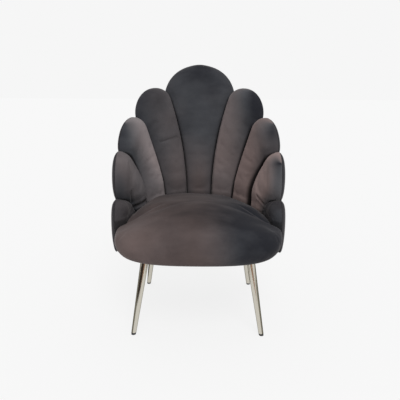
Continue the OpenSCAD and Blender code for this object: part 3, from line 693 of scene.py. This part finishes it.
def seat_outline(z, inset):
    """The right half of the seat's plan from the rear centre to the front centre."""
    r, w = SEAT_R - inset, EAR_W - inset
    axis = AXIS_Y + (z - AXIS_Z) * tan(LEAN)
    rear = [(r * sin(a), axis + r * cos(a) / cos(LEAN)) for a in np.radians(np.linspace(0, 83, 13))]
    ear = [(r, EAR_Y + 0.016), (r + 0.002, EAR_Y), (r + (w - r) * 0.62, EAR_Y - 0.006),
           (r + (w - r) * 0.93, EAR_Y + (WIDE_Y - EAR_Y) * 0.55)]
    front = [(w * max(0, cos(a)) ** SQUARE, WIDE_Y - (FRONT_DEPTH - inset) * sin(a) ** SQUARE)
             for a in np.radians(np.linspace(0, 90, 13))]
    return np.array(rear + ear + front)


def seat_frontness(y):
    """0 where the seat stands in the shell and 1 in front of the arms."""
    return smooth_step((EAR_Y + 0.050 - y) / 0.110)


# The skin's rings from the board up: rise and inset of the rear, rise and inset of the front, and
# the front's extra inset at its corners
seat_rings = [(-0.03, 0.060, -0.03, 0.073, 0.007), (0, 0.060, 0, 0.073, 0.007),
              (0, 0.003, 0.004, 0.044, 0.006), (0.12, 0, 0.12, 0.009, 0.016),
              (0.36, 0, 0.36, 0.0, 0.008), (0.64, 0, 0.62, 0, 0.001),
              (0.88, 0.001, 0.84, 0.010, 0), (0.97, 0.006, 1, 0.028, 0),
              (1, 0.020, 1.08, 0.052, 0)]
# The crown's rings: share of the way up, and half width, rear reach and front reach of an oval
crown_rings = [(0.34, (0.205, 0.214, 0.150)), (0.66, (0.150, 0.158, 0.110)),
               (0.88, (0.090, 0.096, 0.066)), (0.97, (0.040, 0.043, 0.030))]


def mirrored_ring(points):
    """A whole ring from its right half."""
    return np.concatenate([points, points[-2:0:-1] * [-1, 1]])


def seat_ring(ring):
    """One ring of the cushion's skin, as points in order round the plan."""
    rear_rise, rear_in, front_rise, front_in, corner_in = ring
    out = []
    for i, (x, y) in enumerate(mirrored_ring(seat_outline(0.396, 0))):
        f = float(seat_frontness(y))
        low = SEAT_LOW + (BOARD_TOP + 0.0006 - SEAT_LOW) * (1 - f)
        rise = rear_rise + (front_rise - rear_rise) * f
        turn = np.degrees(np.arctan2(y - CROWN_Y, abs(x)))
        ear = 0.013 * np.exp(-((turn - 12) / 20) ** 2) - 0.011 * np.exp(-((turn + 13) / 11) ** 2)
        high = float(seat_edge(x, y)) + ear
        z = low + (high - low) * rise if rise >= 0 else low + 0.0032
        # The top edge rolls in less beside the ears than over the front
        fuller = 1 - 0.5 * np.exp(-((turn + 9) / 15) ** 2) if rise > 0.7 else 1
        front_inset = front_in * fuller + corner_in * min(1, abs(x) / EAR_W) ** 4
        inset = rear_in + (front_inset - rear_in) * f
        out.append((*mirrored_ring(seat_outline(z, inset))[i], z))
    return np.array(out)


def seat_dome(edge, share, oval):
    """A ring of the crown: drawn from the top edge towards an oval round the crown point."""
    x, y = edge[:, 0], edge[:, 1] - CROWN_Y
    reach = np.where(y > 0, oval[1], oval[2])
    k = 1 / np.sqrt((x / oval[0]) ** 2 + (y / reach) ** 2)
    return np.stack([x * k, CROWN_Y + y * k, edge[:, 2] + (SEAT_H - edge[:, 2]) * share], -1)


edge_ring = seat_ring((1, 0.022, 1, 0.040, 0))
rings = [seat_ring(ring) for ring in seat_rings]
rings += [seat_dome(edge_ring, share, oval) for share, oval in crown_rings]
seat_bm = bmesh.new()
bmesh.ops.create_circle(seat_bm, cap_ends=False, segments=len(edge_ring), radius=1)
loop = sorted(seat_bm.verts, key=lambda vert: atan2(vert.co.x, vert.co.y) % (2 * pi))
for vert, point in zip(loop, rings[0]):
    vert.co = point
edges = seat_bm.edges[:]
for ring in rings[1:]:
    new = bmesh.ops.extrude_edge_only(seat_bm, edges=edges)["geom"]
    edges = [g for g in new if isinstance(g, bmesh.types.BMEdge)]
    above_it = {}
    for vert in (g for g in new if isinstance(g, bmesh.types.BMVert)):
        below = next(e.other_vert(vert) for e in vert.link_edges if e not in edges)
        above_it[below] = vert
    loop = [above_it[vert] for vert in loop]
    for vert, point in zip(loop, ring):
        vert.co = point
bmesh.ops.edgeloop_fill(seat_bm, edges=edges)
bmesh.ops.holes_fill(seat_bm, edges=[e for e in seat_bm.edges if e.is_boundary], sides=0)
put_in_order(seat_bm.verts, seat_bm.edges, seat_bm.faces)
seat = velvet_object("velvet_seat", seat_bm)
round_off = seat.modifiers.new("round", "SUBSURF")
round_off.levels = round_off.render_levels = 3
smooth_seat = with_modifiers(seat)
seat_bm = bmesh.new()
seat_bm.from_mesh(smooth_seat)
put_in_order(seat_bm.verts, seat_bm.edges, seat_bm.faces)
seat_bm.to_mesh(smooth_seat)
seat_bm.free()
seat.modifiers.clear()
seat.data = smooth_seat
seat_points = np.array([vert.co for vert in seat.data.vertices])
plan, level = seat_points[:, :2], seat_points[:, 2]
# The photographed seat isn't even: it stands higher at the left rear, dips behind its crown, and
# its right ear reaches a little further out
uneven = smooth_step((level - 0.31) / 0.07) * (0.014 * spot(plan, (-0.165, 0.05), (0.055, 0.09))
                                               - 0.009 * spot(plan, (0.03, 0.05), (0.10, 0.12)))
spread = smooth_step((level - 0.30) / 0.04) * (0.006 * spot(plan, (0.27, -0.16), (0.05, 0.06))
                                               + 0.004 * spot(plan, (0.245, -0.11), (0.03, 0.03))
                                               - 0.004 * spot(plan, (-0.245, -0.11), (0.03, 0.03)))
for vert, lift, push in zip(seat.data.vertices, uneven, spread):
    vert.co.z += lift
    vert.co.x += push
seat_free = smooth_step((level - 0.268) / 0.02)
for corner_x in (-0.265, 0.265):
    seat_free *= 1 - 0.85 * spot(plan, (corner_x, -0.155), (0.045, 0.045))
swell_as_cloth([(seat, seat_free)], voxel=0.006, pressure=4, growth=0.01, cap=0.006)
# Painted light and shade of the velvet: light at the left front corner and along the front,
# darker and cooler to the right and darker at the rear
seat_nap_and_light = 0.104 - 0.115 * smooth_step(plan[:, 0] / 0.2)
for lighter, place, size in (
        (0.25, (-0.24, -0.28), (0.12, 0.12)), (0.03, (-0.17, -0.14), (0.09, 0.09)),
        (0.13, (0.0, -0.31), (0.20, 0.05)), (-0.068, (0.0, 0.10), (0.25, 0.10))):
    seat_nap_and_light += lighter * spot(plan, place, size)
seat_warm = 0.95 - 1.05 * smooth_step((plan[:, 0] + 0.02) / 0.2)
lay_pile(seat.data, seat_nap_and_light, seat_warm, np.zeros(len(plan)))
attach(seat, "root")
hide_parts("seat_cushion")


# ---- Legs and glides
# Four tapered steel tubes with a polished champagne finish, each on a square plate, with black
# moulded glides in their ends.
def painted(name, low, high, grain_look, roughness, rough_range, bump=0.15, metallic=0.0,
            bump_look=None):
    """A material whose colour runs from low to high over a grain, as do its roughness and bump.
    The bump can have a grain of its own."""
    made = bpy.data.materials.new(name)
    made.use_nodes = True
    tree = made.node_tree
    skin = tree.nodes["Principled BSDF"]
    skin.inputs["Metallic"].default_value = metallic
    mask = add_grain(tree, *grain_look)
    rough = add_math(tree, "MULTIPLY_ADD", mask, rough_range, roughness)
    tree.links.new(add_blend(tree, mask, low, high), skin.inputs["Base Color"])
    tree.links.new(rough, skin.inputs["Roughness"])
    height = add_grain(tree, *bump_look) if bump_look else mask
    relief = add_node(tree, "Bump", {"Strength": bump, "Distance": 0.0004, "Height": height})
    tree.links.new(relief.outputs[0], skin.inputs["Normal"])
    return made


def finish_node(name, material):
    """Gives a CAD piece its material."""
    nodes[name].data.materials.clear()
    nodes[name].data.materials.append(material)


leg_metal = painted("champagne_metal", (0.58, 0.55, 0.48), (0.64, 0.61, 0.53), (60, 4),
                    roughness=0.10, rough_range=0.08, bump=0.004, metallic=1.0)
# Polished steel with this finish darkens towards its edges
leg_skin = leg_metal.node_tree.nodes["Principled BSDF"]
leg_skin.inputs["Specular Tint"].default_value = (0.12, 0.11, 0.10, 1)
glide_plastic = painted("glide_plastic", (0.016, 0.016, 0.018), (0.026, 0.026, 0.028), (300, 3),
                        roughness=0.42, rough_range=0.16, bump=0.2, bump_look=(900, 2))
for corner in ("front_left", "front_right", "rear_left", "rear_right"):
    finish_node(f"leg_{corner}", leg_metal)
    finish_node(f"glide_{corner}", glide_plastic)


# ---- Board, dust cover, shell and fasteners
# Birch plywood board and shell, which show black cloth where the upholstery wraps them, a thin
# dust cover stapled under the board, foam inside, and zinc-plated screws and nuts.

# The level up to which the wood's upright faces are wrapped, and the cloth's colour
WRAP_TOP, WRAP_COLOUR = 0.2778, (0.020, 0.020, 0.022)
birch = painted("birch_plywood", (0.47, 0.33, 0.19), (0.62, 0.47, 0.30), (60, 5, 1.2, (1, 8, 8)),
                roughness=0.5, rough_range=0.2)
wood = birch.node_tree
where = add_node(wood, "TexCoord")
height = add_node(wood, "SeparateXYZ", {0: where.outputs["Object"]}).outputs["Z"]
facing = add_node(wood, "SeparateXYZ", {0: where.outputs["Normal"]}).outputs["Z"]
low = add_math(wood, "LESS_THAN", height, WRAP_TOP)
upright = add_math(wood, "LESS_THAN", add_math(wood, "ABSOLUTE", facing), 0.7)
wrapped = add_math(wood, "MULTIPLY", low, upright)
wood_colour = wood.nodes["Principled BSDF"].inputs["Base Color"]
bare_wood = wood_colour.links[0].from_socket
wood.links.new(add_blend(wood, wrapped, bare_wood, WRAP_COLOUR), wood_colour)
dust_cloth = painted("dust_cloth", (0.008, 0.008, 0.009), (0.020, 0.020, 0.022), (700, 5, 1.5),
                     roughness=0.9, rough_range=0.1, bump=0.3)
foam = painted("foam", (0.70, 0.60, 0.33), (0.80, 0.72, 0.46), (500, 4, 1.4),
               roughness=0.9, rough_range=0.1, bump=0.4)
zinc = painted("zinc", (0.42, 0.42, 0.40), (0.55, 0.55, 0.52), (200, 4, 1.2),
               roughness=0.26, rough_range=0.18, bump=0.1, metallic=1.0)
for name, material in (("seat_board", birch), ("back_shell", birch), ("dust_cover", dust_cloth),
                       ("seat_foam", foam), ("leg_screws", zinc), ("leg_nuts", zinc),
                       ("shell_screws", zinc)):
    finish_node(name, material)
